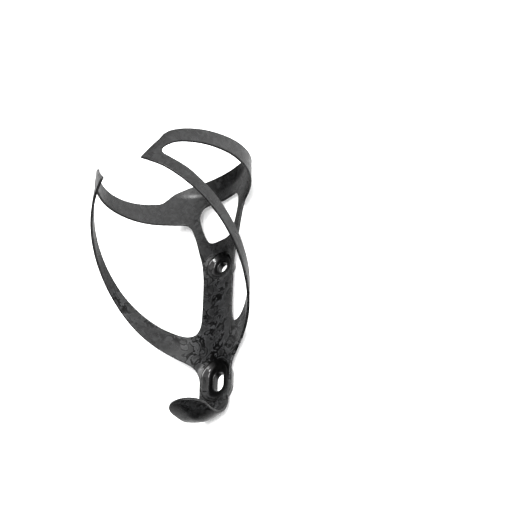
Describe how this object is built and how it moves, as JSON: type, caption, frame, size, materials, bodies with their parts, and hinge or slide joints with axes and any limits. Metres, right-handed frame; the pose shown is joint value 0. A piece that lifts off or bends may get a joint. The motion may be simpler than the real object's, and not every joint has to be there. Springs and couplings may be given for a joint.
{
  "type": "water bottle cage",
  "caption": "Moulded carbon water bottle cage for a bicycle frame, with a forked spine, two bolt cups, a catch lip, a foot and sprung looped wings that grip the bottle.",
  "frame": {"origin": "midway between the two bolt holes, on the plane of the back faces of the two bolt cups", "axes": "+X across the cage, +Y along the spine towards the bottle's mouth, +Z away from the mounting surface towards the bottle"},
  "size_m": [0.0756, 0.1435, 0.0781],
  "materials": {
    "forged_carbon": "satin lacquer over marbled chopped carbon fibre",
    "cup_carbon": "satin lacquer over marbled chopped carbon fibre, darker in the recesses"
  },
  "bodies": {
    "spine": {"spine_plate": "forged_carbon", "neck_band": "forged_carbon", "neck_lip": "forged_carbon", "upper_mount_cup": "cup_carbon", "lower_mount_cup": "cup_carbon", "foot_elbow": "forged_carbon", "foot_tongue": "forged_carbon", "left_fork_leg": "forged_carbon", "right_fork_leg": "forged_carbon"},
    "left_wing": {"left_upper_band": "forged_carbon", "left_lower_arm": "forged_carbon", "left_wing_tip": "forged_carbon"},
    "right_wing": {"right_upper_band": "forged_carbon", "right_lower_arm": "forged_carbon", "right_wing_tip": "forged_carbon"}
  },
  "joints": [
    {"name": "left_wing_flex", "type": "hinge", "parent": "spine", "child": "left_wing", "pos_m": [-0.0204, 0.02, 0.01115], "axis": [0, -1, 0], "range_deg": [-2, 6], "stiffness_Nm_per_rad": 12},
    {"name": "right_wing_flex", "type": "hinge", "parent": "spine", "child": "right_wing", "pos_m": [0.0204, 0.02, 0.01115], "axis": [0, 1, 0], "range_deg": [-2, 6], "stiffness_Nm_per_rad": 12}
  ]
}
